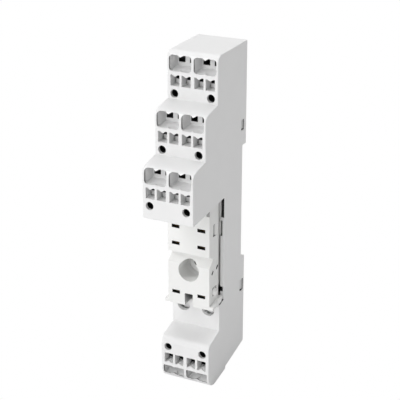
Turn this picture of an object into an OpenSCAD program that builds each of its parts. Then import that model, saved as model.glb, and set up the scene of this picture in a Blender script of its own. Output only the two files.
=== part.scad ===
// Slim relay socket that snaps on a 35 mm rail, in millimetres.
// The origin is the centre of the rail seat: x runs across, y from the relay side to the rail, z up.

/* [Housing] */
// Width of the socket across the rail
body_w = 15.8; // [15.6:0.1:17]
// Thickness of the two side walls
wall = 1.2; // [1:0.05:1.3]
// Thickness of the shelves between the terminal chambers
shelf_t = 1.2; // [0.8:0.1:1.4]
// Thickness of the web between the left and the right chambers
web_t = 1; // [0.8:0.1:1.2]
// Radius of the outer front edges
edge_r = 2.2; // [1:0.1:2.4]
// Radius of the front bottom edge
bottom_r = 4; // [2:0.5:4.5]

/* [Terminal tiers] */
// Height from one terminal tier to the next
tier_pitch = 14.24; // [14:0.02:15]
// How much taller than that the lowest tier is, down to the relay bay's lip
tier_foot = 1.93; // [1.9:0.01:2.3]
// Distance from the rail face to the front of the top tier
tier_depth = 16.8; // [16:0.1:18.4]
// How far each tier stands out before the one above it
tier_step = 7.6; // [7:0.1:8.5]
// Thickness of the terminal front with its funnels
block_d = 6.2; // [6:0.1:6.4]
// Rise of a ledge above its tier line, at the back
ledge_back = 0.54; // [0.3:0.05:0.8]
// Fall of a ledge below its tier line, at the front
ledge_front = 0.96; // [0.6:0.05:1]

/* [Relay bay] */
// Height of the bay's roof at the side walls
bay_back_z = 5.6; // [5.2:0.1:5.8]
// Height of the bay's roof at the front lip
bay_front_z = 3.85; // [3.5:0.05:4.5]
// Distance from the rail face to the front edge of the side walls
bay_d = 12.1; // [11.6:0.1:12.4]
// Distance from the rail face to the recess under the relay
recess_d = 15; // [14.6:0.1:15.4]
// Depth below the rail centre at which the recess starts
recess_top = 27.9; // [27.8:0.1:28.4]
// Depth below the rail centre at which the recess ends
recess_bottom = 36.3; // [35.8:0.1:36.6]

/* [Coil block] */
// Distance from the rail face to the front of the coil block
coil_depth = 22.2; // [22:0.1:24]
// Depth below the rail centre of the coil block's upper edge
coil_top = 38.4; // [38:0.1:38.8]
// Depth below the rail centre of the coil block's lower edge
coil_bottom = 53.6; // [53.4:0.1:55]
// Depth below the rail centre of the underside at its step
step_z = 51.6; // [51.5:0.1:52]
// Distance from the rail face to the step in the underside
step_d = 10.4; // [9.6:0.1:10.4]
// Height of that step
step_h = 0.8; // [0.4:0.1:0.9]
// Depth below the rail centre of the underside at the rear
rear_bottom = 47.8; // [47:0.1:48.5]

/* [Rail seat] */
// Height of the upper lip above the rail centre
rail_up = 17.9; // [17.7:0.1:18.3]
// Depth of the lower lip below the rail centre
rail_down = 17.4; // [17.2:0.1:18]
// How far the housing reaches behind the rail face
rail_d = 2.4; // [2.2:0.1:3]
// Thickness of the rail's edges
rail_t = 1; // [0.9:0.1:1.1]
// How far the hook and the latch reach over the rail's edges
rail_grip = 1.2; // [0.8:0.1:1.4]

/* [Wire entries] */
// Distance of each pole's centre from the middle
pole_x = 3.85; // [3.8:0.01:3.95]
// Distance between the two entries of one pole
entry_pitch = 3.5; // [3.4:0.05:3.55]
// Width of a funnel
funnel_w = 6.95; // [6.6:0.05:7]
// Height of a funnel
funnel_h = 4.65; // [4.4:0.05:4.7]
// Distance from the tier line to the funnel
funnel_u = 1.1; // [1:0.05:1.2]
// Depth of a funnel down to the wire mouths
funnel_d = 4.7; // [4.5:0.1:5]
// How far a funnel narrows at each side
funnel_taper = 0.45; // [0.2:0.05:0.6]
// Width of a wire mouth
mouth_w = 2.1; // [1.8:0.1:2.2]
// Distance from the tier line to the near side of a wire mouth
mouth_u = 1.45; // [1.4:0.05:1.6]
// Height of a wire mouth
mouth_h = 2.7; // [2.4:0.1:2.8]
// Distance from the coil block's lower edge to its funnels
coil_funnel_u = 2.9; // [2.7:0.05:3.1]
// Height of a wire mouth of the coil block
coil_mouth_h = 1.4; // [1.2:0.1:1.5]
// Radius of a funnel's corners
funnel_r = 1; // [0.4:0.1:1.2]
// Depth of the small ridges in a funnel and at a slot
ridge_h = 0.55; // [0.3:0.05:0.6]

/* [Release slots and test points] */
// Width of a release slot
slot_w = 2.86; // [2.6:0.02:2.9]
// Height of a release slot
slot_h = 3.25; // [3:0.05:3.3]
// Distance from the tier line to the slot
slot_u = 6.75; // [6.7:0.05:6.9]
// Depth of a slot down to its mouth
slot_d = 3.4; // [3:0.1:3.8]
// Height of the mouth at a slot's end
slot_mouth_h = 1.8; // [1.5:0.05:1.9]
// Distance of a test point from the middle
test_x = 5.71; // [5.5:0.05:5.8]
// Distance from the tier line to a test point
test_u = 12.16; // [12:0.02:12.3]
// Radius of a test point
test_r = 1.22; // [1:0.02:1.25]

/* [Relay carrier] */
// Distance from the rail face to the relay's seat
seat_d = 19.6; // [19.4:0.1:20]
// Distance from the rail face to the back of the carrier's sides
cheek_d = 13.8; // [13.6:0.1:14]
// Width of the carrier
carrier_w = 13.6; // [13.2:0.1:13.8]
// Height of the carrier's top above the rail centre
carrier_top = 4.6; // [4.4:0.05:4.7]
// Depth of the carrier's foot below the rail centre
carrier_foot = 26.6; // [26.4:0.05:26.7]
// Distance of the contact slots from the middle
blade_x = 4.175; // [4.1:0.01:4.2]
// Width of a contact slot
blade_slot_w = 2.55; // [2.4:0.05:2.6]
// Height of a contact slot
blade_slot_h = 1.05; // [0.9:0.05:1.1]
// Height of the upper row of contact slots above the rail centre
row_top = 2.7; // [2.6:0.05:2.75]
// Distance between the rows of contact slots
row_pitch = 5.3; // [5.2:0.05:5.35]
// Depth of the coil's contact slots below the rail centre
coil_row = 23.65; // [23.5:0.05:23.8]
// Width of the chamber behind a contact slot
cell_w = 3; // [2.8:0.05:3.1]
// Height of the chamber behind a contact slot
cell_h = 2.6; // [2.4:0.05:2.6]
// Thickness of the relay's seat in front of the chambers
seat_t = 1.2; // [1:0.1:1.4]
// Depth of the screw hole below the rail centre
screw_z = 16.15; // [16:0.05:16.3]
// Radius of the screw hole
screw_r = 1.75; // [1.6:0.05:1.8]
// Radius of the sink for the screw's head
sink_r = 3.35; // [3:0.05:3.4]
// Depth of the sink for the screw's head
sink_d = 7.2; // [6.4:0.1:7.4]
// Radius of the pivots for the relay's holding clip
pivot_r = 1.15; // [1:0.05:1.2]
// Distance from the rail face to the pivots
pivot_d = 16.5; // [16.4:0.05:16.6]
// Depth of the pivots below the rail centre
pivot_z = 22.65; // [22.5:0.05:22.8]

/* [Contacts] */
// Thickness of the contact bars
bar_t = 0.8; // [0.6:0.05:0.8]
// Distance between one bar and the next
bar_pitch = 2.4; // [2.2:0.05:2.4]
// Width of the bars
bar_w = 2.4; // [2:0.1:2.5]
// Width of the plate above a pole's two wire mouths
plate_w = 5.5; // [5.3:0.05:5.5]
// Thickness of the clamp springs
spring_t = 0.35; // [0.25:0.05:0.4]
// Width of the clamp springs
spring_w = 2.2; // [2:0.05:2.3]
// Outer radius of the bend in the clamp springs
spring_r = 1.7; // [1.5:0.05:1.75]
// Lean of the clamping leg, in degrees
spring_lean = 16; // [14:1:18]
// Distance from the tier line to the centre of the bend
bend_u = 10; // [9.8:0.1:10.2]

/* [Rear cover and latch] */
// Thickness of the rear cover
cover_t = 1.2; // [1:0.1:1.4]
// Half width of the latch's channel at the cover
channel_x = 4.05; // [3.8:0.05:4.2]
// Width of the lips that hold the latch
channel_lip = 0.7; // [0.5:0.05:0.8]
// Thickness of the latch's edges
latch_edge_t = 1.3; // [1.2:0.05:1.35]
// Length of the latch's spring at rest
coil_len = 11.5; // [10:0.5:12]
// Outer radius of the latch's spring
coil_r = 0.9; // [0.7:0.05:0.95]
// Wire thickness of the latch's spring
coil_wire = 0.36; // [0.3:0.02:0.4]
// Number of turns of the latch's spring
coil_turns = 8; // [6:1:9]
// Depth of the spring's fixed end below the rail centre
peg_z = 38.5; // [37:0.5:40]
// Height of the peg that holds the spring
peg_h = 1.5; // [1:0.1:2]
// How far the latch reaches out under the housing
tab_out = 3.6; // [3:0.1:4]
// Radius of the boss round the screw
boss_r = 2.55; // [2.3:0.05:2.6]

/* [Clearances] */
// Gap between pieces that seat in each other
fit = 0.05; // [0.03:0.01:0.08]
// Gap between pieces that only pass each other
free = 0.15; // [0.1:0.05:0.2]

/* [Hidden] */

eps = 0.01;
half_w = body_w / 2;
inner_x = half_w - wall;
half_web = web_t / 2;
step_angle = 15;
top_z = bay_front_z + 3 * tier_pitch + tier_foot;

// Poles 1 to 6 belong to the tiers, two each from the top; 7 and 8 belong to the coil block.
function tier_of(p) = floor((p - 1) / 2);
function side_of(p) = p % 2 == 1 ? -1 : 1;
function is_coil(t) = t == 3;

// Front face and tier line of each block; in the coil block heights count upwards from its lower edge.
function face_y(t) = is_coil(t) ? -coil_depth : -(tier_depth + t * tier_step);
function line_z(t) = is_coil(t) ? -coil_bottom : top_z - t * tier_pitch;
function at_u(t, u) = line_z(t) + (is_coil(t) ? u : -u);

// Contact rows: the lowest tier feeds the upper row, so that the bars nest without crossing.
function row_z(t) = is_coil(t) ? -coil_row : row_top - (2 - t) * row_pitch;
function bar_y(t) = is_coil(t) ? -coil_bar : -(bar_first + t * bar_pitch);
fork_open = 0.5;
fork_pinch = 0.15;
fork_leaf = 0.45;

// Inside of the chambers
roof_u = 1;
rib_gap = 0.3;
rib_t = 1;
rib_u = 6;
bend_gap = 1;
bend_d = block_d + bend_gap + spring_r;
coil_floor_t = 0.8;
coil_bend_gap = 0.3;
coil_leg_gap = 0.2;
coil_bar = step_d + coil_floor_t + bar_t + 2 * fit;
coil_bend_d = coil_depth - coil_bar - spring_r - coil_leg_gap;
coil_block_d = coil_bend_d - spring_r - coil_bend_gap;
bar_first = tier_depth - bend_d - spring_r - rib_gap - rib_t - 2 * free;
carrier_rear = bar_first + 2 * bar_pitch + free;
function block_t(t) = is_coil(t) ? coil_block_d : block_d;
function block_y(t) = face_y(t) + block_t(t);
function bend_y(t) = face_y(t) + (is_coil(t) ? coil_bend_d : bend_d);
function rib_y(t) = bend_y(t) + spring_r + rib_gap;
function floor_z(t) = t < 2 ? line_z(t + 1) - roof_u + shelf_t : bay_back_z + shelf_t;
function shelf_y(t) = bar_y(t) - free;

// A polygon whose points carry a radius as third number, with arcs in place of those corners.
function unit(v) = v / norm(v);
function flat2(p) = [p[0], p[1]];
function turn(a) = (a + 540) % 360 - 180;
function arc(c, r, from, sweep) =
    let (n = max(1, ceil(abs(sweep) / step_angle)))
    [for (k = [0:n]) c + r * [cos(from + sweep * k / n), sin(from + sweep * k / n)]];
function corner(a, b, c, r) =
    let (
        u = unit(a - b),
        w = unit(c - b),
        half = acos(u * w) / 2,
        centre = b + unit(u + w) * r / sin(half),
        p = b + u * r / tan(half) - centre,
        q = b + w * r / tan(half) - centre,
        from = atan2(p[1], p[0])
    )
    arc(centre, r, from, turn(atan2(q[1], q[0]) - from));
function rounded(pts) =
    let (n = len(pts))
    [for (i = [0:n - 1])
        each pts[i][2] == 0 ? [flat2(pts[i])]
            : corner(flat2(pts[(i + n - 1) % n]), flat2(pts[i]), flat2(pts[(i + 1) % n]), pts[i][2])];

// A side view (y, z) drawn out across the width, centred on the middle.
module across(w) {
    rotate([90, 0, 90])
        linear_extrude(height = w, center = true)
            children();
}

// A side view drawn out from one x to another.
module between(x0, x1) {
    translate([x0, 0, 0])
        rotate([90, 0, 90])
            linear_extrude(height = x1 - x0)
                children();
}

// A front view (x, z) cut from the face at y0 to a depth of d.
module from_face(y0, d) {
    translate([0, y0 + d, 0])
        rotate([90, 0, 0])
            linear_extrude(height = d)
                children();
}

// A box given by its two opposite corners.
module box(a, b) {
    translate(a)
        cube(b - a);
}

module both_sides() {
    children();
    mirror([1, 0, 0])
        children();
}

// FRONT HOUSING
// Outer side view: three terminal tiers, relay bay, recess, coil block, and the open notch for the rail.
lip_r = 0.4;
recess_r = 0.8;
recess_slope = 0.6;
step_back = step_z - step_h;
top_rise = 0.5;
tier_outline = [for (t = [0:2]) each concat(
    [[face_y(t), t == 0 ? top_z : line_z(t) - ledge_front, edge_r]],
    t < 2 ? [[face_y(t), line_z(t + 1) + ledge_back, 0]] : []
)];
housing_outline = rounded(concat(
    [[rail_d, top_z + top_rise, 0.3]],
    tier_outline,
    [
        [face_y(2), bay_front_z, lip_r],
        [-bay_d, bay_back_z, 0],
        [-bay_d, -recess_top + recess_slope, 0],
        [-recess_d, -recess_top, recess_r],
        [-recess_d, -recess_bottom, 0],
        [-coil_depth, -coil_top, edge_r],
        [-coil_depth, -coil_bottom, bottom_r],
        [-step_d, -step_z, 0],
        [-step_d, -step_back, 0],
        [rail_d, -rear_bottom, 0.3],
        [rail_d, -rail_down - 0.8, 0.5],
        [0, -rail_down, 0],
        [0, rail_up, 0],
        [rail_d, rail_up + 0.1, 0]
    ]
));

// Hollow of one row of chambers, seen from the side; the ribs behind the clamp springs stay in it.
rear_out = rail_d + 1;
function chamber(t) = [
    [block_y(t), line_z(t) - roof_u],
    [block_y(t), floor_z(t)],
    [rib_y(t), floor_z(t)],
    [rib_y(t), line_z(t) - rib_u],
    [rib_y(t) + rib_t, line_z(t) - rib_u],
    [rib_y(t) + rib_t, floor_z(t)],
    [shelf_y(t), floor_z(t)],
    [shelf_y(t), floor_z(t) - shelf_t]
];
coil_back_y = block_y(3);
function underside_z(y) = -step_z - (y + step_d) / (coil_depth - step_d) * (step_z - coil_bottom);
coil_roof_drop = shelf_t + 0.2;
function coil_roof_z(y) =
    -recess_bottom + (y + recess_d) * (coil_top - recess_bottom) / (coil_depth - recess_d);
tier_hollow = [for (t = [0:2]) each chamber(t)];
lower_hollow = [
    [-bay_d - 2, bay_back_z],
    [-bay_d - 2, -recess_top + recess_slope + fit],
    [-coil_bar - free, -recess_top + recess_slope + fit],
    [-coil_bar - free, -recess_top + recess_slope - shelf_t],
    [-recess_d + shelf_t, -recess_top + recess_slope - shelf_t],
    [-recess_d + shelf_t, coil_roof_z(-recess_d) - coil_roof_drop],
    [coil_back_y, coil_roof_z(coil_back_y) - coil_roof_drop],
    [coil_back_y, underside_z(coil_back_y) + coil_floor_t],
    [-step_d - coil_floor_t - fit, underside_z(-step_d - coil_floor_t - fit) + coil_floor_t],
    [-step_d - coil_floor_t - fit, -step_back + shelf_t],
    [rear_out, -rear_bottom + shelf_t]
];
hollow_outline = concat([[rear_out, top_z - roof_u]], tier_hollow, lower_hollow);

// The web between the poles leaves out the rear, and the carrier with the screw in the middle.
web_rear = bar_first - 1.6;
web_outline = [
    [face_y(2), top_z],
    [-web_rear, top_z],
    [-web_rear, bay_back_z + shelf_t],
    [face_y(2), bay_back_z + shelf_t]
];
coil_web_outline = [
    [-recess_d, -recess_top - 1],
    [-web_rear, -recess_top - 1],
    [-web_rear, -coil_bottom],
    [-coil_depth, -coil_bottom],
    [-coil_depth, -recess_bottom - 1]
];

// Front view of a funnel about its pole's centre, with a small ridge at its top and a short one below.
ridge_w = 0.95;
low_ridge_w = 0.45;
low_ridge_h = 0.35;
low_ridge_d = 0.7;
coil_funnel_r = 0.4;
function near_u(t) = is_coil(t) ? coil_funnel_u : funnel_u;
function funnel_outline(t, low) =
    let (
        a = at_u(t, near_u(t)),
        b = at_u(t, funnel_u + funnel_h),
        s = is_coil(t) ? 1 : -1,
        w = funnel_w / 2,
        r = is_coil(t) ? coil_funnel_r : funnel_r
    )
    rounded(concat(
        [[-w, a, r], [-ridge_w, a, 0], [0, a + s * ridge_h, 0], [ridge_w, a, 0], [w, a, r], [w, b, r]],
        low ? [[low_ridge_w, b, 0], [0, b - s * low_ridge_h, 0], [-low_ridge_w, b, 0]] : [],
        [[-w, b, r]]
    ));

// Side view of a funnel: flat above, a rising floor, an upright end wall; a rim in front in the coil block.
floor_rise = 0.6;
coil_rim_t = 0.9;
coil_rim_h = 0.5;
coil_ramp = 1.05;
coil_mouth_u = coil_bottom + underside_z(-coil_depth + funnel_d) + coil_floor_t + fit + bar_t + coil_ramp;
function funnel_side(t) =
    let (y = face_y(t), d = funnel_d, near = near_u(t), low = funnel_u + funnel_h)
    concat(
        [[y - eps, at_u(t, near - eps)]],
        is_coil(t)
            ? [
                [y + coil_rim_t, at_u(t, near - eps)],
                [y + coil_rim_t, at_u(t, near - coil_rim_h)],
                [y + d, at_u(t, coil_mouth_u)]
            ]
            : [[y + d, at_u(t, near - eps)]],
        [
            [y + d, at_u(t, low - floor_rise)],
            [y, at_u(t, low + eps)],
            [y - eps, at_u(t, low + eps)]
        ]
    );

// Top view of a funnel: the side walls lean in.
function funnel_plan(t) =
    let (y = face_y(t), w = funnel_w / 2)
    [
        [-w - eps, y - eps], [w + eps, y - eps], [w + eps, y],
        [w - funnel_taper, y + funnel_d + eps], [-w + funnel_taper, y + funnel_d + eps], [-w - eps, y]
    ];

module funnel(t) {
    lo = min(at_u(t, funnel_u), at_u(t, funnel_u + funnel_h)) - 1;
    intersection() {
        union() {
            from_face(face_y(t) - eps, low_ridge_d + 2 * eps)
                polygon(funnel_outline(t, true));
            from_face(face_y(t) + low_ridge_d, funnel_d - low_ridge_d + eps)
                polygon(funnel_outline(t, false));
            if (is_coil(t))
                from_face(face_y(t) + coil_rim_t, funnel_d - coil_rim_t + eps)
                    translate([0, -coil_rim_h])
                        polygon(funnel_outline(t, false));
        }
        across(funnel_w + 1)
            polygon(funnel_side(t));
        translate([0, 0, lo])
            linear_extrude(height = funnel_h + 2)
                polygon(funnel_plan(t));
    }
}

mouth_reach = 0.5;
module wire_mouths(t) {
    u = is_coil(t) ? coil_mouth_u : mouth_u;
    h = is_coil(t) ? coil_mouth_h : mouth_h;
    lo = min(at_u(t, u), at_u(t, u + h));
    for (s = [-1, 1])
        translate([s * entry_pitch / 2 - mouth_w / 2, face_y(t) + funnel_d - eps, lo])
            cube([mouth_w, block_t(t) - funnel_d + mouth_reach, h]);
}

// Release slot with a V-shaped ridge at the side of the wire entries, and its narrower mouth.
slot_ridge_w = 0.9;
function slot_outline(t) =
    let (a = at_u(t, slot_u), b = at_u(t, slot_u + slot_h), s = is_coil(t) ? 1 : -1, w = slot_w / 2)
    [[-w, a], [-slot_ridge_w, a], [0, a + s * ridge_h], [slot_ridge_w, a], [w, a], [w, b], [-w, b]];
slot_mouth_gap = 1.25;

module release_slots(t) {
    u = slot_u + slot_h - slot_mouth_gap;
    lo = min(at_u(t, u), at_u(t, u - slot_mouth_h));
    for (s = [-1, 1])
        translate([s * entry_pitch / 2, 0, 0]) {
            from_face(face_y(t) - eps, slot_d + eps)
                polygon(slot_outline(t));
            translate([-slot_w / 2, face_y(t) + slot_d - eps, lo])
                cube([slot_w, block_t(t) - slot_d + 1, slot_mouth_h]);
        }
}

// Test point: a short bore through the front, wider behind it.
test_rim = 1;
test_step = 0.45;
module test_point(t) {
    translate([test_x, face_y(t) - eps, at_u(t, test_u)])
        rotate([-90, 0, 0]) {
            cylinder(h = block_t(t) + 1, r = test_r, $fn = 32);
            translate([0, 0, test_rim])
                cylinder(h = block_t(t) - test_rim + eps, r = test_r + test_step, $fn = 32);
        }
}

// The two sockets beside each other in the recess, each a short blind tube.
key_x = 4.1;
key_z = 29.9;
key_r = 2.12;
key_wall = 0.5;
key_d = recess_d - coil_bar - key_wall - free;
module key_tubes() {
    both_sides()
        translate([key_x, -recess_d + shelf_t / 2, -key_z])
            rotate([-90, 0, 0])
                cylinder(h = key_d + key_wall - shelf_t / 2, r = key_r + key_wall, $fn = 48);
}
module key_holes() {
    both_sides()
        translate([key_x, -recess_d - eps, -key_z])
            rotate([-90, 0, 0])
                cylinder(h = key_d + eps, r = key_r, $fn = 48);
}

// Windows in the side walls for the rear cover's hooks.
upper_window = [[-0.9, 22.7], [0.9, 25.8]];
lower_window = [[-0.5, -29.7], [1.8, -25.8]];
module window(w) {
    both_sides()
        box([inner_x - eps, w[0][0], w[0][1]], [half_w + eps, w[1][0], w[1][1]]);
}

// Pockets on the inside of the walls' front edges, where the holding clip's arms move.
arm_top_w = 0.95;
arm_top_d = 3;
arm_top_end = -1.3;
arm_mid = [[-1.6, -6.45], 0.58];
arm_low = [[-22.9, -24.4], 0.85];
arm_d = 1.8;
module arm_wedge() {
    both_sides()
        between(inner_x - eps, inner_x + arm_top_w)
            polygon([
                [-bay_d - eps, bay_back_z],
                [-bay_d + arm_top_d, bay_back_z],
                [-bay_d - eps, arm_top_end]
            ]);
}
module arm_pocket(a) {
    both_sides()
        box([inner_x - eps, -bay_d - eps, a[0][1]], [inner_x + a[1], -bay_d + arm_d, a[0][0]]);
}

// Ribs on the inside of the walls that stop the carrier.
stop_w = 0.7;
stop_t = 0.8;
stop_rise = 7;
stop_top = 3;
module carrier_stops() {
    both_sides()
        box(
            [inner_x - stop_w, -carrier_rear + fit, -carrier_foot + stop_rise],
            [inner_x + wall / 2, -carrier_rear + fit + stop_t, stop_top]
        );
}

// Opening in the underside through which the latch's tab comes out.
module tab_opening() {
    box(
        [-channel_x, fit - free, -step_z],
        [channel_x, rail_d + 1, -rear_bottom + shelf_t + 2]
    );
}

module front_housing() {
    color("Gainsboro")
    difference() {
        union() {
            difference() {
                across(body_w)
                    polygon(housing_outline);
                difference() {
                    across(2 * inner_x)
                        polygon(hollow_outline);
                    across(web_t) {
                        polygon(web_outline);
                        polygon(coil_web_outline);
                    }
                }
            }
            key_tubes();
            carrier_stops();
        }
        for (t = [0:3])
            both_sides()
                translate([pole_x, 0, 0]) {
                    funnel(t);
                    wire_mouths(t);
                }
        for (t = [0:3])
            both_sides() {
                translate([slot_x, 0, 0])
                    release_slots(t);
                test_point(t);
            }
        key_holes();
        window(upper_window);
        window(lower_window);
        arm_wedge();
        arm_pocket(arm_mid);
        arm_pocket(arm_low);
        tab_opening();
    }
}
slot_x = pole_x - 0.125;

// RELAY CARRIER
// Side view of its front part, with the cross groove that lets a tool reach under the relay.
groove_top = 10.7;
groove_tip = 12;
groove_bottom = 14.1;
groove_d = 2.6;
seat_outline = rounded([
    [-cheek_d, carrier_top, 0],
    [-seat_d, carrier_top, 0],
    [-seat_d, -groove_top, 0],
    [-seat_d + groove_d, -groove_tip, 0],
    [-seat_d, -groove_bottom, 0],
    [-seat_d, -carrier_foot, 0],
    [-cheek_d, -carrier_foot + 0.9, 0]
]);
foot_outline = [
    [-seat_d + 0.2, -carrier_foot],
    [-seat_d + 0.1, -carrier_foot - 1],
    [-cheek_d - 2.5, -carrier_foot - 0.8],
    [-cheek_d, -carrier_foot - 0.4],
    [-cheek_d + 0.9, -carrier_foot + 1.2]
];
neck_x = 6.2;
coil_neck = coil_bar + free + fit;
rear_top = 4.3;
rear_step = coil_row - fork_open - fork_leaf - 2 * free;
neck_outline = [
    [-cheek_d - 1, rear_top],
    [-carrier_rear, rear_top],
    [-carrier_rear, -rear_step],
    [-coil_neck, -rear_step],
    [-coil_neck, -carrier_foot - 0.2],
    [-cheek_d - 1, -carrier_foot - 0.2]
];
shoulder_d = 11.6;
shoulder_outline = [
    [-shoulder_d, rear_top],
    [-carrier_rear, rear_top],
    [-carrier_rear, -rear_step],
    [-shoulder_d, -rear_step]
];
foot_notch_x = 1.33;
foot_notch_z = 23.6;
foot_notch_d = 5.2;

// Wedge-shaped grip in each cheek, deepest at its front.
grip_front = seat_d - 2.5;
grip_rear = cheek_d + 0.5;
grip_deep = 0.6;
grip_top = 1.1;
grip_bottom = 5;
module cheek_grip() {
    both_sides()
        translate([carrier_w / 2, 0, 0])
            intersection() {
                translate([0, 0, -grip_bottom + 2 * eps])
                    linear_extrude(height = grip_bottom)
                        polygon([[eps, -grip_front], [-grip_deep, -grip_front], [eps, -grip_rear]]);
                between(-1, 1)
                    polygon(rounded([
                        [-grip_front - eps, -grip_top, 0.6],
                        [-grip_rear + eps, -grip_top, 1.2],
                        [-grip_rear + eps, -grip_bottom, 0],
                        [-grip_front - eps, -grip_bottom, 0]
                    ]));
            }
}

// Two slanted slits in each cheek: distances of their centres from the cheek's back and the rail centre.
slit_w = 0.5;
slit_l = 1.3;
slit_deep = 0.8;
slit_angle = 40;
slit_rear = [0.8, 15.5];
slit_front = [3.7, 16.2];
module cheek_slits() {
    both_sides()
        for (c = [slit_rear, slit_front])
            translate([carrier_w / 2 - slit_deep, -cheek_d - c[0], -c[1]])
                rotate([-slit_angle, 0, 0])
                    translate([0, -slit_w / 2, -slit_l / 2])
                        cube([slit_deep + eps, slit_w, slit_l]);
}

// Pin across both walls that carries the relay's holding clip, with domed ends.
dome_h = 0.6;
dome_r = 0.55;
module pivot_pin() {
    translate([0, -pivot_d, -pivot_z])
        both_sides()
            rotate([0, 90, 0]) {
                cylinder(h = half_w - fit - dome_h, r = pivot_r, $fn = 32);
                translate([0, 0, half_w - fit - dome_h]) {
                    cylinder(h = dome_h / 2, r1 = pivot_r, r2 = pivot_r * 0.85, $fn = 32);
                    translate([0, 0, dome_h / 2])
                        cylinder(h = dome_h / 2, r1 = pivot_r * 0.85, r2 = dome_r, $fn = 32);
                }
            }
}

module blade_cells() {
    for (t = [0:3])
        both_sides()
            translate([blade_x, 0, row_z(t)]) {
                translate([-blade_slot_w / 2, -seat_d - eps, -blade_slot_h / 2])
                    cube([blade_slot_w, seat_t + 2 * eps, blade_slot_h]);
                translate([-cell_w / 2, -seat_d + seat_t, -cell_h / 2])
                    cube([cell_w, seat_d, cell_h]);
            }
}

module relay_carrier() {
    color("WhiteSmoke")
    difference() {
        union() {
            across(carrier_w)
                polygon(seat_outline);
            across(body_w)
                polygon(foot_outline);
            across(2 * neck_x)
                polygon(neck_outline);
            across(2 * (inner_x - fit))
                polygon(shoulder_outline);
            pivot_pin();
        }
        blade_cells();
        cheek_grip();
        cheek_slits();
        translate([0, -seat_d - eps, -screw_z])
            rotate([-90, 0, 0]) {
                cylinder(h = sink_d, r = sink_r, $fn = 48);
                cylinder(h = seat_d, r = screw_r, $fn = 32);
            }
        box(
            [-foot_notch_x, -seat_d - eps, -carrier_foot - 3],
            [foot_notch_x, -seat_d + foot_notch_d, -foot_notch_z]
        );
    }
}

// REAR COVER
cover_x = inner_x - fit;
cover_top = top_z - roof_u - fit;
cover_bottom = rear_bottom - shelf_t - 0.8;
cover_outline = [
    [rail_d, cover_top],
    [rail_d - cover_t, cover_top],
    [rail_d - cover_t, rail_up + cover_t],
    [-cover_t, rail_up + cover_t],
    [-cover_t, -cover_bottom],
    [0, -cover_bottom],
    [0, rail_up],
    [rail_t + 0.1, rail_up],
    [rail_t + 0.1, rail_up - rail_grip],
    [rail_d - 0.5, rail_up - rail_grip],
    [rail_d, rail_up - rail_grip + 0.8]
];
// Top view of one rail of the latch's channel, with the lip that holds the latch in.
channel_plan = [
    [channel_x, -cover_t / 2],
    [cover_x, -cover_t / 2],
    [cover_x, rail_d],
    [channel_x - channel_lip, rail_d],
    [channel_x - channel_lip, latch_edge_t + 2 * fit],
    [channel_x, latch_edge_t + 2 * fit]
];
hook_out = 0.9;
hook_gap = 0.25;
arm_t = 1;

// Hook that snaps into a window: an arm along the wall with a wedge on its outside.
module window_hook(w, root) {
    y0 = w[0][0] + hook_gap;
    y1 = w[1][0] - hook_gap;
    both_sides()
        translate([0, 0, w[0][1] + hook_gap])
            linear_extrude(height = w[1][1] - w[0][1] - 2 * hook_gap)
                polygon([
                    [cover_x - arm_t, root],
                    [cover_x - arm_t, y0 - 0.6],
                    [cover_x, y0 - 0.6],
                    [cover_x, y0],
                    [cover_x + hook_out, y1 - 0.2],
                    [cover_x + hook_out, y1],
                    [cover_x, y1],
                    [cover_x, root]
                ]);
}

module rear_cover() {
    color("Silver")
    difference() {
        union() {
            across(2 * cover_x)
                polygon(cover_outline);
            both_sides()
                translate([0, 0, -cover_bottom])
                    linear_extrude(height = cover_bottom - rail_down)
                        polygon(channel_plan);
            window_hook(upper_window, rail_d - cover_t / 2);
            window_hook(lower_window, rail_d - cover_t / 2);
            box([-coil_r - 0.5, -cover_t / 2, -peg_z - peg_h], [coil_r + 0.5, latch_face - 0.2, -peg_z]);
            translate([0, -carrier_rear + fit, -screw_z])
                rotate([-90, 0, 0])
                    cylinder(h = carrier_rear - fit - cover_t / 2, r = boss_r, $fn = 48);
        }
        translate([0, -carrier_rear, -screw_z])
            rotate([-90, 0, 0])
                cylinder(h = carrier_rear + 1, r = screw_r, $fn = 32);
    }
}

// RAIL LATCH
latch_face = rail_d - 0.3;
latch_x = channel_x - fit;
latch_body_x = channel_x - channel_lip - fit;
latch_end = rear_bottom + tab_out;
latch_top = rail_down - 0.1;
spring_room_x = coil_r + 0.6;
nose_y = rail_t + 0.1;
latch_plan = [
    [-latch_x, fit],
    [latch_x, fit],
    [latch_x, latch_edge_t],
    [latch_body_x, latch_edge_t],
    [latch_body_x, latch_face],
    [-latch_body_x, latch_face],
    [-latch_body_x, latch_edge_t],
    [-latch_x, latch_edge_t]
];
nose_outline = [
    [nose_y, -latch_top - 1],
    [nose_y, -latch_top + rail_grip - 0.1],
    [nose_y + 0.3, -latch_top + rail_grip - 0.1],
    [latch_face, -latch_top],
    [latch_face, -latch_top - 1]
];
tool_slot_w = 3.6;
tool_slot_h = 1;

module rail_latch() {
    color("DimGray")
    difference() {
        union() {
            translate([0, 0, -latch_end])
                linear_extrude(height = latch_end - latch_top)
                    polygon(latch_plan);
            across(2 * latch_body_x)
                polygon(nose_outline);
        }
        box(
            [-spring_room_x, -1, -peg_z - peg_h - fit],
            [spring_room_x, rail_d + 1, -peg_z + coil_len + fit]
        );
        box(
            [-tool_slot_w / 2, -1, -latch_end + 0.9],
            [tool_slot_w / 2, rail_d + 1, -latch_end + 0.9 + tool_slot_h]
        );
    }
}

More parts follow.
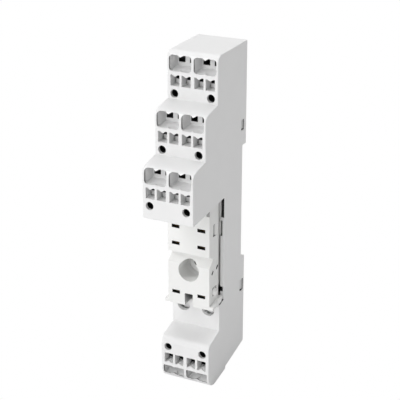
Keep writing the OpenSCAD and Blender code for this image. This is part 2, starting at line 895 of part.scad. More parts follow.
// LATCH SPRING
// A coil swept along its helix, with a ring of points at each step; the end turns lie closed.
coil_sides = 6;
ring_step = 30;
coil_mean = coil_r - coil_wire / 2;
coil_y = fit + (latch_face - fit) / 2;
coil_rings = coil_turns * 360 / ring_step;
coil_rise = coil_len - coil_wire - 2 * fit;
function rise(k) =
    let (s = k / coil_rings, closed = 0.12, lay = coil_wire / coil_rise)
    s < closed ? s / closed * lay
        : s > 1 - closed ? 1 - (1 - s) / closed * lay
        : lay + (s - closed) / (1 - 2 * closed) * (1 - 2 * lay);
function ring(k) = [for (j = [0:coil_sides - 1])
    let (a = k * ring_step, b = j * 360 / coil_sides, r = coil_mean + coil_wire / 2 * cos(b))
    [r * cos(a), r * sin(a), coil_wire / 2 + fit + rise(k) * coil_rise + coil_wire / 2 * sin(b)]];
coil_points = [for (k = [0:coil_rings]) each ring(k)];
coil_skin = [for (k = [0:coil_rings - 1], j = [0:coil_sides - 1])
    let (n = (j + 1) % coil_sides, a = k * coil_sides)
    [a + j, a + n, a + n + coil_sides, a + j + coil_sides]];
coil_ends = [
    [for (j = [coil_sides - 1:-1:0]) j],
    [for (j = [0:coil_sides - 1]) coil_rings * coil_sides + j]
];

module latch_spring() {
    color("SlateGray")
        translate([0, coil_y, -peg_z])
            polyhedron(points = coil_points, faces = concat(coil_skin, coil_ends), convexity = 8);
}

// CONTACT BARS
// Each is one strip: a plate over the wires, a leg down to its contact row, and a fork for the relay's blade.
fork_front = -seat_d + seat_t + 0.2;
plate_u = roof_u + fit;
function plate_outline(t) =
    is_coil(t)
        ? [
            [coil_back_y + fit, underside_z(coil_back_y) + coil_floor_t + fit],
            [-coil_bar + bar_t, underside_z(-coil_bar + bar_t) + coil_floor_t + fit],
            [-coil_bar + bar_t, underside_z(-coil_bar + bar_t) + coil_floor_t + fit + bar_t],
            [coil_back_y + fit, underside_z(coil_back_y) + coil_floor_t + fit + bar_t]
        ]
        : [
            [block_y(t) + fit, at_u(t, plate_u)],
            [bar_y(t) + bar_t, at_u(t, plate_u)],
            [bar_y(t) + bar_t, at_u(t, plate_u + bar_t)],
            [block_y(t) + fit, at_u(t, plate_u + bar_t)]
        ];
function leg_outline(t) =
    let (
        coil_far = underside_z(-coil_bar + bar_t) + coil_floor_t + fit + bar_t / 2,
        far = is_coil(t) ? coil_far : at_u(t, plate_u + bar_t / 2),
        near = row_z(t) + (is_coil(t) ? 1 : -1) * (fork_open + fork_leaf)
    )
    [[bar_y(t), near], [bar_y(t) + bar_t, near], [bar_y(t) + bar_t, far], [bar_y(t), far]];
function leaf_outline(t, s) =
    let (z = row_z(t), y = fork_front)
    [
        [bar_y(t) + bar_t / 2, z + s * (fork_open + fork_leaf)],
        [bar_y(t) + bar_t / 2, z + s * fork_open],
        [y + 1.2, z + s * fork_pinch],
        [y, z + s * fork_open],
        [y, z + s * (fork_open + fork_leaf)],
        [y + 1.2, z + s * (fork_pinch + fork_leaf)]
    ];

module contact_bar(p) {
    t = tier_of(p);
    color("Goldenrod")
        translate([side_of(p) * pole_x, 0, 0])
            across(plate_w)
                polygon(plate_outline(t));
    color("Goldenrod")
        translate([side_of(p) * blade_x, 0, 0])
            across(bar_w) {
                polygon(leg_outline(t));
                polygon(leaf_outline(t, 1));
                polygon(leaf_outline(t, -1));
            }
}

// CLAMP SPRINGS
// A bent leaf: fixed leg against the rib, bend at the bottom, clamping leg leaning up to the plate.
fixed_leg = 3.6;
tip_gap = 0.12;
function spring_top_u(t) =
    is_coil(t)
        ? coil_bottom + underside_z(bend_y(3)) + coil_floor_t + fit + bar_t + tip_gap
        : plate_u + bar_t + tip_gap;
function spring_outline(t) =
    let (
        c = [bend_y(t), -bend_u],
        ri = spring_r - spring_t,
        sweep = -(180 + spring_lean),
        outer = arc(c, spring_r, 0, sweep),
        inner = arc(c, ri, sweep, -sweep),
        dir = [sin(spring_lean), cos(spring_lean)],
        last = outer[len(outer) - 1],
        l = (-spring_top_u(t) - last[1]) / dir[1]
    )
    concat(
        [c + [ri, fixed_leg], c + [spring_r, fixed_leg]],
        outer,
        [last + dir * l, inner[0] + dir * (l - 0.2)],
        inner
    );

module clamp_spring(p, e) {
    t = tier_of(p);
    side = side_of(p);
    color("LightSteelBlue")
        translate([side * pole_x + (e * 2 - 3) * entry_pitch / 2, 0, line_z(t)])
            mirror([0, 0, is_coil(t) ? 1 : 0])
                across(spring_w)
                    polygon(spring_outline(t));
}

front_housing();
rear_cover();
relay_carrier();
rail_latch();
latch_spring();
for (p = [1:8]) {
    contact_bar(p);
    for (e = [1:2])
        clamp_spring(p, e);
}
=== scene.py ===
import math

import bmesh
import bpy
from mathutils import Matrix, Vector
from mathutils.bvhtree import BVHTree


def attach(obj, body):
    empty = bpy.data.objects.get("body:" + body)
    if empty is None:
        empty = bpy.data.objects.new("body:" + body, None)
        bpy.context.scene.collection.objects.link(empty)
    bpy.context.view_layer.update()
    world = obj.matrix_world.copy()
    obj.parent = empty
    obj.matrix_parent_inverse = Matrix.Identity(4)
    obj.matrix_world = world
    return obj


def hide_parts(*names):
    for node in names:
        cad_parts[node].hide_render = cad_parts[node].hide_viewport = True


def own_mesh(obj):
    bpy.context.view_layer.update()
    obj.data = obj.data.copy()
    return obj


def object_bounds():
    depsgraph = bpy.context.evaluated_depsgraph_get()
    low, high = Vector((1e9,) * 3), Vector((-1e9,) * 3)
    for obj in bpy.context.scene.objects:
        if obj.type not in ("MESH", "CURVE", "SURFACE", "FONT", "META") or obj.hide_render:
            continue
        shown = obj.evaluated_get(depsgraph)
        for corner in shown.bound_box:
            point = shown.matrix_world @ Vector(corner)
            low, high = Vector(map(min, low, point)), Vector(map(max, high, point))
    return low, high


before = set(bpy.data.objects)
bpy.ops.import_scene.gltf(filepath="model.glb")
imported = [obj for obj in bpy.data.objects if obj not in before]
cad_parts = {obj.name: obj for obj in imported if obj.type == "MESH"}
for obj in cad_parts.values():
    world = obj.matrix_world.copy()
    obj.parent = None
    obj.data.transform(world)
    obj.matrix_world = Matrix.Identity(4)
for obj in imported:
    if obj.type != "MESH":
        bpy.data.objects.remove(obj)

cad_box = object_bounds()


# CAMERA
# The photograph looks at the socket's front from above and from the right, with a long lens. These values
# were solved from the edges in it. The angles are in degrees and the sensor is in mm.
MM = 0.001
VIEW_AZIMUTH = 26.6737
VIEW_ELEVATION = 21.8795
VIEW_DISTANCE = 349.378 * MM
VIEW_TARGET = Vector((-7.305, 2.4, -2.934)) * MM
SENSOR = 36.0
FOCAL_PIXELS = 1137.25
IMAGE_PIXELS = 400
CLIP_NEAR = 10 * MM
CLIP_FAR = 20000 * MM


def place_camera():
    azimuth, elevation = math.radians(VIEW_AZIMUTH), math.radians(VIEW_ELEVATION)
    back = Vector((
        math.sin(azimuth) * math.cos(elevation),
        -math.cos(azimuth) * math.cos(elevation),
        math.sin(elevation),
    ))
    camera = bpy.data.objects.new("camera", bpy.data.cameras.new("camera"))
    camera.data.sensor_width = SENSOR
    camera.data.lens = FOCAL_PIXELS / IMAGE_PIXELS * SENSOR
    camera.data.clip_start = CLIP_NEAR
    camera.data.clip_end = CLIP_FAR
    camera.location = VIEW_TARGET + back * VIEW_DISTANCE
    camera.rotation_mode = "QUATERNION"
    camera.rotation_quaternion = (-back).to_track_quat("-Z", "Y")
    bpy.context.scene.collection.objects.link(camera)
    bpy.context.scene.camera = camera


place_camera()


# STUDIO
# A white room: a large lamp high on the left, a broad one in front, one overhead behind the socket, an even
# sky, and a sweep of white paper under the socket.
BACKDROP_WHITE = "#FFFFFF"
# How strong the white room is to the camera, and how strong it is as light on the socket.
SEEN_LEVEL = 1.0
SKY_LEVEL = 0.24
# Where each lamp stands, how strong it is and, in degrees, how soft.
LAMPS = {
    "key_softbox": {"from": (-0.5, -0.5, 0.7), "level": 1.08, "softness": 30},
    "front_softbox": {"from": (-0.12, -0.95, 0.28), "level": 1.04, "softness": 40},
    "rear_overhead": {"from": (0.0, 0.35, 0.93), "level": 1.64, "softness": 60},
}
FLOOR_HALF = 3000 * MM
FLOOR_DROP = 0.05 * MM
PAPER_WHITE = "#F2F2F2"
PAPER_ROUGHNESS = 0.9


def linear(hex_colour):
    """sRGB hex to linear RGBA."""
    values = [int(hex_colour[i:i + 2], 16) / 255 for i in (1, 3, 5)]
    return [v / 12.92 if v <= 0.04045 else ((v + 0.055) / 1.055) ** 2.4 for v in values] + [1.0]


def add(tree, kind, settings=None, **links):
    """Adds a node; settings go to its properties or inputs, links join inputs to other nodes' outputs.
    A number, or _number, is an input's place: a Mix node has its factor at 0 and its colours at 6 and 7."""
    node = tree.nodes.new(kind)
    for name, value in (settings or {}).items():
        if isinstance(name, int) or name in node.inputs:
            node.inputs[name].default_value = value
        else:
            setattr(node, name, value)
    for name, source in links.items():
        key = int(name[1:]) if name[1:].isdigit() else name.replace("_", " ")
        tree.links.new(source, node.inputs[key])
    return node


def new_material(name):
    material = bpy.data.materials.new(name)
    material.use_nodes = True
    material.node_tree.nodes.clear()
    return material, material.node_tree


def build_sky():
    """White where the camera sees it, and a dimmer even light on the socket."""
    world = bpy.data.worlds.new("white_room")
    world.use_nodes = True
    tree = world.node_tree
    tree.nodes.clear()
    path = add(tree, "ShaderNodeLightPath")
    seen = add(tree, "ShaderNodeMath", {"operation": "MAXIMUM"},
               _0=path.outputs["Is Camera Ray"], _1=path.outputs["Is Transmission Ray"])
    level = add(tree, "ShaderNodeMix", {"data_type": "FLOAT", 2: SKY_LEVEL, 3: SEEN_LEVEL},
                _0=seen.outputs[0])
    sky = add(tree, "ShaderNodeBackground", {"Color": linear(BACKDROP_WHITE)}, Strength=level.outputs[0])
    add(tree, "ShaderNodeOutputWorld", Surface=sky.outputs[0])
    bpy.context.scene.world = world
    bpy.context.scene.view_settings.view_transform = "Standard"


def hang_lamps():
    for name, values in LAMPS.items():
        lamp = bpy.data.objects.new(name, bpy.data.lights.new(name, "SUN"))
        lamp.data.energy = values["level"]
        lamp.data.angle = math.radians(values["softness"])
        lamp.rotation_mode = "QUATERNION"
        lamp.rotation_quaternion = (-Vector(values["from"])).to_track_quat("-Z", "Y")
        bpy.context.scene.collection.objects.link(lamp)


def lay_floor():
    """Matt white paper: it throws light up on the socket, and the camera sees it as plain white."""
    material, tree = new_material("white_paper_sweep")
    path = add(tree, "ShaderNodeLightPath")
    paper = add(tree, "ShaderNodeBsdfPrincipled",
                {"Base Color": linear(PAPER_WHITE), "Roughness": PAPER_ROUGHNESS})
    seen = add(tree, "ShaderNodeEmission", {"Color": linear(BACKDROP_WHITE), "Strength": SEEN_LEVEL})
    mix = add(tree, "ShaderNodeMixShader",
              _0=path.outputs["Is Camera Ray"], _1=paper.outputs[0], _2=seen.outputs[0])
    add(tree, "ShaderNodeOutputMaterial", Surface=mix.outputs[0])
    mesh = bpy.data.meshes.new("floor")
    z = cad_box[0].z - FLOOR_DROP
    corners = [(x * FLOOR_HALF, y * FLOOR_HALF, z) for x, y in ((-1, -1), (1, -1), (1, 1), (-1, 1))]
    mesh.from_pydata(corners, [], [(0, 1, 2, 3)])
    mesh.materials.append(material)
    floor = bpy.data.objects.new("floor", mesh)
    bpy.context.scene.collection.objects.link(floor)


build_sky()
hang_lamps()
lay_floor()


# FRONT HOUSING
# Injection moulded in light grey glass-filled polyamide, in a spark-eroded tool that leaves a fine grain. Its
# outer edges carry a small moulding radius, and the rear cover snaps into the windows in its sides.
HOUSING_GREY = "#E9E9E9"
HOUSING_SHADE = "#E5E5E5"
HOUSING_HALF_WIDTH = 7.9 * MM
HOUSING_EDGE = 0.22 * MM
# Faces are cut into patches of this size, so that the shading in a recess can vary over them.
HOUSING_PATCH = 1.2 * MM
POLYAMIDE_IOR = 1.53
POLYAMIDE_ROUGHNESS = 0.55
# The real grain is finer, near 0.05 mm, and wouldn't show, so it is drawn as coarse as this.
GRAIN = 0.22 * MM
GRAIN_BUMP = 0.06
GRAIN_GLOSS = 0.05
# The tone drifts a little over this length, from the flow of the melt.
MOTTLE = 6 * MM
# Openness is the share of directions in which a spot is free. Painted shade makes it dark below
# RECESS_SHUT, and from HOUSING_OPEN up it has its full colour.
PAINTED_SHADE_GREY = "#1A1A1A"
RECESS_SHUT = 0.02
HOUSING_OPEN = 0.1
# Painted light pales the upward faces of a recess towards this white, between the next two openness values.
PAINTED_LIGHT_WHITE = "#FBFBFB"
PAINTED_LIGHT_FROM = 0.5
PAINTED_LIGHT_FULL = 0.2
# Angles in degrees: faces flatter than the first are joined, edges above the second can get a radius, edges
# under the third are smooth, and so are edges under the last between facets narrower than BROAD_FACE.
FLAT_ANGLE = 0.3
ROUNDED_ANGLE = 38
FAINT_ANGLE = 3
FACET_ANGLE = 24
BROAD_FACE = 1.1 * MM
EDGE_SEGMENTS = 2
FACE_WEIGHT = 100
WELD = 0.001 * MM
CUT_SNAP = WELD / 10
ON_FACE = 0.01 * MM
# Places in mm: distance from the middle, depth and height, each from and to. The last value multiplies the
# openness that is measured there and so sets the painted shade: 0 paints it black, and a value above 1
# keeps it light.
HOUSING_PAINTED_SHADE_PLACES = {
    "upper_window": ((6.6, 7.88), (-0.9, 0.9), (22.7, 25.8), 0.0),
    "lower_window": ((6.6, 7.88), (-0.5, 1.8), (-29.7, -25.8), 0.0),
    "arm_top": ((6.6, 7.88), (-12.2, -8.5), (0.5, 10), 0.0),
    "arm_slope": ((6.6, 7.88), (-12.2, -9.0), (-0.8, 0.5), 0.05),
    "arm_middle": ((6.6, 7.4), (-12.1, -10.0), (-6.5, -1.5), 0.0),
    "arm_low": ((6.6, 7.6), (-12.1, -10.0), (-24.5, -22.8), 0.0),
    "key_socket": ((1.9, 6.3), (-14.95, -12.0), (-32.1, -27.7), 0.4),
    "beside_foot": ((6.6, 7.9), (-14.6, -11.8), (-28.3, -26.5), 0.1),
}
# Each terminal face in mm: its depth, the height that its openings are measured from, whether they follow
# upwards (1) or downwards (-1), and how far from that height the wire funnels' rims start and end.
TERMINAL_FACES = {
    "tier_1": {"depth": -16.8, "line": 48.5, "up": -1, "rims": (0.9, 5.4)},
    "tier_2": {"depth": -24.4, "line": 34.26, "up": -1, "rims": (0.9, 5.4)},
    "tier_3": {"depth": -32.0, "line": 20.02, "up": -1, "rims": (0.9, 5.4)},
    "coil_block": {"depth": -22.2, "line": -53.6, "up": 1, "rims": (1.4, 5.9)},
}
# The openings of a terminal face in mm: distance from the middle, depth behind the face and way from its
# line, with the painted shade factor as above. The funnels' rims stand apart, because their way differs
# between the faces.
TERMINAL_OPENINGS = {
    "wire_mouths": ((0, 7.9), (4.75, 9), (1.0, 5.9), 0.1),
    "slot_mouths": ((0, 7.9), (3.45, 9), (6.6, 10.1), 0.1),
    "test_rims": ((4.4, 7.1), (0, 0.98), (10.9, 13.5), 3.0),
    "test_bores": ((4.0, 7.5), (1.0, 9), (10.4, 14.0), 0.1),
}
# How deep the rims reach behind their face and, just short of that, where their painted shade ends, in mm.
RIM_DEPTH = 0.7
RIM_GAP = 0.02
RIM_SPAN = (0, 7.4)
RIM_SHADE_FACTOR = 0.1


def add_terminal_places():
    for name, face in TERMINAL_FACES.items():
        rims = {"rims": (RIM_SPAN, (0, RIM_DEPTH - RIM_GAP), face["rims"], RIM_SHADE_FACTOR)}
        for opening, (span, depths, ways, factor) in (rims | TERMINAL_OPENINGS).items():
            behind = [face["depth"] + depth for depth in depths]
            heights = sorted(face["line"] + face["up"] * way for way in ways)
            HOUSING_PAINTED_SHADE_PLACES[f"{name}_{opening}"] = (span, behind, heights, factor)


def polyamide(name, colour, shade, roughness, open_at):
    """Matt moulded polyamide: nearly even colour with a fine erosion grain. By the openness attribute,
    painted light makes the upward floor of a recess a little paler, and painted shade makes deep places dark."""
    material, tree = new_material(name)
    place = add(tree, "ShaderNodeTexCoord")
    mottle = add(tree, "ShaderNodeTexNoise", {"Scale": 1 / MOTTLE, "Detail": 3.0, "Roughness": 0.6},
                 Vector=place.outputs["Object"])
    grain = add(tree, "ShaderNodeTexNoise", {"Scale": 1 / GRAIN, "Detail": 2.0, "Roughness": 0.5},
                Vector=place.outputs["Object"])
    tint = add(tree, "ShaderNodeMix", {"data_type": "RGBA", 6: linear(shade), 7: linear(colour)},
               _0=mottle.outputs["Fac"])
    openness = add(tree, "ShaderNodeAttribute", {"attribute_name": "openness"})
    depth = add(tree, "ShaderNodeMapRange",
                {"interpolation_type": "SMOOTHSTEP", "From Min": RECESS_SHUT, "From Max": open_at},
                Value=openness.outputs["Fac"])
    painted_floor_light = add(tree, "ShaderNodeMapRange",
                  {"interpolation_type": "SMOOTHSTEP", "From Min": PAINTED_LIGHT_FROM, "From Max": PAINTED_LIGHT_FULL},
                  Value=openness.outputs["Fac"])
    facing = add(tree, "ShaderNodeSeparateXYZ", Vector=place.outputs["Normal"])
    upward = add(tree, "ShaderNodeMath", {"operation": "MULTIPLY", "use_clamp": True},
                 _0=painted_floor_light.outputs[0], _1=facing.outputs["Z"])
    lit = add(tree, "ShaderNodeMix", {"data_type": "RGBA", 7: linear(PAINTED_LIGHT_WHITE)},
              _0=upward.outputs[0], _6=tint.outputs[2])
    shaded = add(tree, "ShaderNodeMix", {"data_type": "RGBA", 6: linear(PAINTED_SHADE_GREY)},
                 _0=depth.outputs[0], _7=lit.outputs[2])
    rough = add(tree, "ShaderNodeMapRange",
                {"To Min": roughness - GRAIN_GLOSS, "To Max": roughness + GRAIN_GLOSS},
                Value=grain.outputs["Fac"])
    bump = add(tree, "ShaderNodeBump", {"Strength": GRAIN_BUMP, "Distance": GRAIN / 2},
               Height=grain.outputs["Fac"])
    surface = add(tree, "ShaderNodeBsdfPrincipled", {"IOR": POLYAMIDE_IOR, "Metallic": 0.0},
                  Base_Color=shaded.outputs[2], Roughness=rough.outputs[0], Normal=bump.outputs[0])
    add(tree, "ShaderNodeOutputMaterial", Surface=surface.outputs[0])
    return material


def open_mesh(node):
    """The CAD node's mesh for editing, with its triangles joined to whole faces."""
    work = bmesh.new()
    work.from_mesh(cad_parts[node].data)
    bmesh.ops.remove_doubles(work, verts=work.verts, dist=WELD)
    bmesh.ops.dissolve_limit(work, angle_limit=math.radians(FLAT_ANGLE), verts=work.verts, edges=work.edges)
    return work


def round_edges(work, width, wanted):
    """Rounds the sharp outward edges that the test picks."""
    edges = [e for e in work.edges if e.is_manifold and e.is_convex
             and e.calc_face_angle() > math.radians(ROUNDED_ANGLE) and wanted(e)]
    bmesh.ops.bevel(work, geom=edges, offset=width, offset_type="OFFSET", segments=EDGE_SEGMENTS, profile=0.5,
                    affect="EDGES", clamp_overlap=False)


def mark_creases(work, curved=lambda edge: False):
    """Real edges stay crisp; edges between the narrow facets of a curve are smoothed."""
    for edge in work.edges:
        if not edge.is_manifold or curved(edge):
            continue
        angle = math.degrees(edge.calc_face_angle())
        broad = min(f.calc_area() for f in edge.link_faces) > BROAD_FACE * edge.calc_length()
        edge.smooth = angle < FAINT_ANGLE or (angle < FACET_ANGLE and not broad)


def cut(work, place, normal):
    bmesh.ops.bisect_plane(work, geom=work.verts[:] + work.edges[:] + work.faces[:], dist=CUT_SNAP,
                           plane_co=place, plane_no=normal)


def divide(work, patch):
    """Cuts every face into patches along the three axes."""
    for axis in range(3):
        normal = Vector([float(axis == k) for k in range(3)])
        reach = [v.co[axis] for v in work.verts]
        for k in range(math.ceil(min(reach) / patch), math.ceil(max(reach) / patch)):
            cut(work, normal * (k + 0.5) * patch, normal)


def make_piece(work, name, material, node, body):
    """Turns the edited mesh into the piece that stands for a CAD node."""
    mesh = bpy.data.meshes.new(name)
    work.to_mesh(mesh)
    work.free()
    mesh.polygons.foreach_set("use_smooth", [True] * len(mesh.polygons))
    mesh.materials.append(material)
    piece = bpy.data.objects.new(name, mesh)
    bpy.context.scene.collection.objects.link(piece)
    level = piece.modifiers.new("even_faces", "WEIGHTED_NORMAL")
    level.keep_sharp = True
    level.weight = FACE_WEIGHT
    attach(piece, body)
    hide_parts(node)
    return piece


def lies_on(edge, axis, value):
    return all(abs(v.co[axis] - value) < ON_FACE for v in edge.verts)


def on_side(edge):
    return lies_on(edge, 0, HOUSING_HALF_WIDTH) or lies_on(edge, 0, -HOUSING_HALF_WIDTH)


# A cool, even light grey without gloss, which takes soft shadows.
light_polyamide = polyamide("light_grey_polyamide", HOUSING_GREY, HOUSING_SHADE, POLYAMIDE_ROUGHNESS,
                            HOUSING_OPEN)
work = open_mesh("front_housing")
round_edges(work, HOUSING_EDGE, on_side)
mark_creases(work)
for face in TERMINAL_FACES.values():
    cut(work, (0, (face["depth"] + RIM_DEPTH) * MM, 0), (0, 1, 0))
divide(work, HOUSING_PATCH)
housing = make_piece(work, "housing_moulded", light_polyamide, "front_housing", "socket")
add_terminal_places()


# RELAY CARRIER
# A separate moulding of the same polyamide, a shade warmer, that is pushed in from the front and holds the
# forks. The relay's blades go through its slots, and a screw through its sink can hold the socket to a panel.
CARRIER_GREY = "#EBEBEA"
CARRIER_SHADE = "#E7E7E5"
# Painted shade darkens the carrier wherever its openness is below this.
CARRIER_OPEN = 0.3
CARRIER_HALF_WIDTH = 6.8 * MM
CARRIER_EDGE = 0.1 * MM
CARRIER_PATCH = 0.9 * MM
# The centres of the pivot and of the two slits on a cheek are given as depth and height. The dome starts at a
# share of the pivot's height. The slits lean by SLIT_ANGLE, in degrees.
PIVOT_CENTRE = (-16.5 * MM, -22.65 * MM)
PIVOT_RADIUS = 1.15 * MM
PIVOT_HEIGHT = 1.06 * MM
DOME_START = 0.1
SLIT_CENTRES = ((-14.6 * MM, -15.5 * MM), (-17.5 * MM, -16.2 * MM))
SLIT_ANGLE = 40
SLIT_REACH = 0.75 * MM
SLIT_DEPTH = 1 * MM
SLIT_WIDENING = 1.8
# The same kind of places in mm as the housing's, each setting painted shade: black in the screw hole and the
# slits, a painted shadow under the roof, around the pivot and over the grip, darker in the foot notch, and
# lighter in the sink, with a painted dark patch high on its wall.
CARRIER_PAINTED_SHADE_PLACES = {
    "screw_hole": ((0, 1.8), (-12.36, -3), (-18, -14.3), 0.0),
    "sink_shade": ((0, 3.4), (-15.6, -12.5), (-16.6, -12.7), 3.0),
    "sink_floor": ((0, 3.4), (-12.5, -12.3), (-19.6, -12.7), 6.0),
    "sink": ((0, 3.4), (-19.55, -12.3), (-19.6, -12.7), 4.0),
    "foot_notch": ((0, 1.33), (-19.6, -14.3), (-28, -23.6), 0.4),
    "rear_slit": ((5.9, 6.79), (-15.3, -13.8), (-16.2, -14.8), 0.0),
    "front_slit": ((5.9, 6.79), (-18.2, -16.8), (-16.9, -15.5), 0.0),
    "grip": ((6.0, 6.82), (-17.2, -15.2), (-5.1, -1.0), 0.19),
    "under_roof": ((5.6, 6.85), (-19.7, -19.2), (1.6, 4.7), 0.2),
    "round_pivot": ((6.7, 6.84), (-18.1, -14.9), (-24.2, -21.1), 0.18),
}
# The heights of the rows of blade slots and half the height of a slot, in mm.
BLADE_ROWS = (2.7, -2.6, -7.9, -23.65)
BLADE_HALF = 0.55
# Painted shade darkens each row of blade slots.
for row in BLADE_ROWS:
    heights = (row - BLADE_HALF, row + BLADE_HALF)
    CARRIER_PAINTED_SHADE_PLACES[f"blade_slot_{row}"] = ((2.85, 5.5), (-19.6, -18.4), heights, 0.1)


def on_cheek(edge):
    return lies_on(edge, 0, CARRIER_HALF_WIDTH) or lies_on(edge, 0, -CARRIER_HALF_WIDTH)


def pivot_offset(point):
    return Vector((0, point.y - PIVOT_CENTRE[0], point.z - PIVOT_CENTRE[1]))


def on_pivot(edge):
    return (all(pivot_offset(v.co).length < PIVOT_RADIUS + ON_FACE for v in edge.verts)
            and max(abs(v.co.x) for v in edge.verts) > CARRIER_HALF_WIDTH + ON_FACE)


def dome_pivots(work):
    """Gives the ends of the pivot pin a full dome, inside the CAD's stepped one."""
    for vert in work.verts:
        height = (abs(vert.co.x) - CARRIER_HALF_WIDTH) / PIVOT_HEIGHT
        offset = pivot_offset(vert.co)
        if height > DOME_START and offset.length < PIVOT_RADIUS + ON_FACE:
            shrink = PIVOT_RADIUS * math.sqrt(1 - height ** 2) / offset.length
            vert.co -= offset * (1 - min(shrink, 1))


def widen_slits(work):
    """Makes the two slits of each cheek wide enough to show, with their length as in the CAD."""
    across = Vector((0, math.cos(math.radians(SLIT_ANGLE)), -math.sin(math.radians(SLIT_ANGLE))))
    for vert in work.verts:
        for y, z in SLIT_CENTRES:
            offset = Vector((0, vert.co.y - y, vert.co.z - z))
            if offset.length < SLIT_REACH and abs(vert.co.x) > CARRIER_HALF_WIDTH - SLIT_DEPTH:
                vert.co += across * offset.dot(across) * (SLIT_WIDENING - 1)
                break


# As matt as the housing, and just warm enough to tell the two mouldings apart.
warm_polyamide = polyamide("warm_grey_polyamide", CARRIER_GREY, CARRIER_SHADE, POLYAMIDE_ROUGHNESS,
                           CARRIER_OPEN)
work = open_mesh("relay_carrier")
round_edges(work, CARRIER_EDGE, on_cheek)
dome_pivots(work)
widen_slits(work)
mark_creases(work, on_pivot)
divide(work, CARRIER_PATCH)
carrier = make_piece(work, "carrier_moulded", warm_polyamide, "relay_carrier", "socket")


# REAR COVER
# A flat moulding of the same polyamide as the housing that closes the back. Its hooks snap into the side
# windows, its two channel rails guide the latch, and its long edges are slightly rounded.
COVER_GREY = "#E2E2E2"
COVER_SHADE = "#DEDEDE"
COVER_EDGE = 0.12 * MM
COVER_PATCH = 2 * MM
LONG_EDGE = 4 * MM


def is_long(edge):
    return edge.calc_length() > LONG_EDGE


# A slightly deeper grey than the housing, so that the hooks stand out in the windows.
cover_polyamide = polyamide("cover_grey_polyamide", COVER_GREY, COVER_SHADE, POLYAMIDE_ROUGHNESS,
                            HOUSING_OPEN)
work = open_mesh("rear_cover")
round_edges(work, COVER_EDGE, is_long)
mark_creases(work)
divide(work, COVER_PATCH)
cover = make_piece(work, "cover_moulded", cover_polyamide, "rear_cover", "socket")


# RAIL LATCH
# A slider of black glass-filled polyamide that snaps under the rail's lower edge; a screwdriver in its slot
# pulls it down. Its long edges are rounded, so that it runs smoothly in the cover's channel.
LATCH_BLACK = "#2B2B2C"
LATCH_SHADE = "#252526"
LATCH_ROUGHNESS = 0.5
LATCH_EDGE = 0.15 * MM
LATCH_PATCH = 2 * MM

# Dark with a dull sheen along the rounded edges.
black_polyamide = polyamide("black_polyamide", LATCH_BLACK, LATCH_SHADE, LATCH_ROUGHNESS, HOUSING_OPEN)
work = open_mesh("rail_latch")
round_edges(work, LATCH_EDGE, is_long)
mark_creases(work)
divide(work, LATCH_PATCH)
latch = make_piece(work, "latch_moulded", black_polyamide, "rail_latch", "latch")


# CLAMP SPRINGS AND LATCH SPRING
# The leaves are bent from hardened stainless strip, rolled along its length. The latch's spring is wound from
# drawn wire and stands on the cover's stop.
STEEL_LIGHT = "#C3C5C7"
STEEL_DARK = "#A9ABAE"
STEEL_ROUGHNESS = 0.32
# The spacing of the lines, coarser than the real one, and how many times longer than that each line is.
STRIP_LINES = 0.04 * MM
WIRE_LINES = 0.1 * MM
LINE_STRETCH = 20
LINE_GLOSS = 0.08
POLES = range(1, 9)
WIRE_ENTRIES = (1, 2)


def rolled_metal(name, light, dark, roughness, line):
    """Bare metal: fine lines along the rolling direction change its tone and its roughness a little."""
    material, tree = new_material(name)
    place = add(tree, "ShaderNodeTexCoord")
    along = 1 / (LINE_STRETCH * line)
    drawn = add(tree, "ShaderNodeMapping", {"Scale": (1 / line, along, along)},
                Vector=place.outputs["Object"])
    lines = add(tree, "ShaderNodeTexNoise", {"Scale": 1.0, "Detail": 3.0, "Roughness": 0.6},
                Vector=drawn.outputs[0])
    tint = add(tree, "ShaderNodeMix", {"data_type": "RGBA", 6: linear(dark), 7: linear(light)},
               _0=lines.outputs["Fac"])
    rough = add(tree, "ShaderNodeMapRange",
                {"To Min": roughness - LINE_GLOSS, "To Max": roughness + LINE_GLOSS},
                Value=lines.outputs["Fac"])
    surface = add(tree, "ShaderNodeBsdfPrincipled", {"Metallic": 1.0},
                  Base_Color=tint.outputs[2], Roughness=rough.outputs[0])
    add(tree, "ShaderNodeOutputMaterial", Surface=surface.outputs[0])
    return material


def coat(node, material):
    """Gives a CAD node that is shown as it is its material."""
    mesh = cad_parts[node].data
    mesh.materials.clear()
    mesh.materials.append(material)


# A cold, half-bright metal with very fine lines.
spring_steel = rolled_metal("stainless_spring_strip", STEEL_LIGHT, STEEL_DARK, STEEL_ROUGHNESS, STRIP_LINES)
for pole in POLES:
    for entry in WIRE_ENTRIES:
        coat(f"clamp_spring_{pole}_{entry}", spring_steel)

# The same metal with the coarser lines of the drawing die.
spring_wire = rolled_metal("drawn_spring_wire", STEEL_LIGHT, STEEL_DARK, STEEL_ROUGHNESS, WIRE_LINES)
work = open_mesh("latch_spring")
coil = make_piece(work, "latch_spring_wound", spring_wire, "latch_spring", "socket")
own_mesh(coil)


# CONTACT BARS
# Stamped from brass strip and bent: a plate over the wires, a leg behind the carrier and a fork for the blade
# of the relay. Each bar seats in its chamber of the housing, and the carrier holds its fork.
BRASS_LIGHT = "#D2B27A"
BRASS_DARK = "#B08B4F"
BRASS_ROUGHNESS = 0.35
BRASS_LINES = 0.05 * MM

# A warm yellow metal with faint lines, which gives the blade slots a touch of colour.
stamped_brass = rolled_metal("stamped_brass_strip", BRASS_LIGHT, BRASS_DARK, BRASS_ROUGHNESS, BRASS_LINES)
for pole in POLES:
    coat(f"contact_bar_{pole}", stamped_brass)


# RECESSES
# The real chambers are deep and nearly shut, and look dark. So each corner of a moulding is given the share
# of its surroundings that is free, and painted shade darkens the polyamide by it.
RAY_COUNT = 24
RAY_REACH = 12 * MM
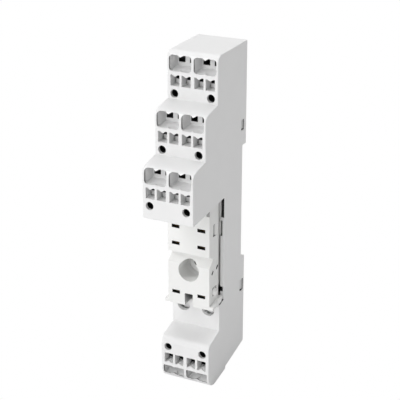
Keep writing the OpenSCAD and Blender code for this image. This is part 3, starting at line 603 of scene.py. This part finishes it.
# Rays start a little inside their corner and off the face, and turn by the golden angle, in radians.
CORNER_INSET = 0.12 * MM
RAY_LIFT = 0.03 * MM
GOLDEN_ANGLE = 2.39996


def hemisphere(count):
    """Evenly spread directions about +z, denser near it as light falls on a surface."""
    spread = [math.sqrt((k + 0.5) / count) for k in range(count)]
    return [Vector((s * math.cos(k * GOLDEN_ANGLE), s * math.sin(k * GOLDEN_ANGLE), math.sqrt(1 - s * s)))
            for k, s in enumerate(spread)]


def surroundings(pieces):
    points, faces = [], []
    for piece in pieces:
        start = len(points)
        points.extend(v.co for v in piece.data.vertices)
        faces.extend([start + i for i in p.vertices] for p in piece.data.polygons)
    return BVHTree.FromPolygons(points, faces)


def factor_at(point, places):
    spot = (abs(point.x) / MM, point.y / MM, point.z / MM)
    for *ranges, factor in places.values():
        if all(low <= value <= high for value, (low, high) in zip(spot, ranges)):
            return factor
    return 1.0


def measure_openness(piece, tree, places):
    """Writes the share of open directions at each face corner, times the painted shade factor of its place,
    as the attribute openness.
    """
    mesh = piece.data
    rays = hemisphere(RAY_COUNT)
    values = [1.0] * len(mesh.loops)
    for face in mesh.polygons:
        turn = Vector((0, 0, 1)).rotation_difference(face.normal)
        turned = [turn @ ray for ray in rays]
        corners = [mesh.vertices[i].co for i in face.vertices]
        for k, loop in enumerate(face.loop_indices):
            before, here, after = corners[k - 1], corners[k], corners[(k + 1) % len(corners)]
            inward = (before - here).normalized() + (after - here).normalized()
            if (here - before).cross(after - here).dot(face.normal) < 0:
                inward = -inward
            start = here + inward.normalized() * CORNER_INSET + face.normal * RAY_LIFT
            missed = sum(tree.ray_cast(start, ray, RAY_REACH)[0] is None for ray in turned)
            values[loop] = missed / RAY_COUNT * factor_at(start, places)
    mesh.attributes.new("openness", "FLOAT", "CORNER").data.foreach_set("value", values)


metals = [part for name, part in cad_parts.items() if name.startswith(("contact_bar", "clamp_spring"))]
nearby = surroundings([housing, carrier, cover, latch] + metals)
measure_openness(housing, nearby, HOUSING_PAINTED_SHADE_PLACES)
measure_openness(carrier, nearby, CARRIER_PAINTED_SHADE_PLACES)
measure_openness(cover, nearby, {})
measure_openness(latch, nearby, {})
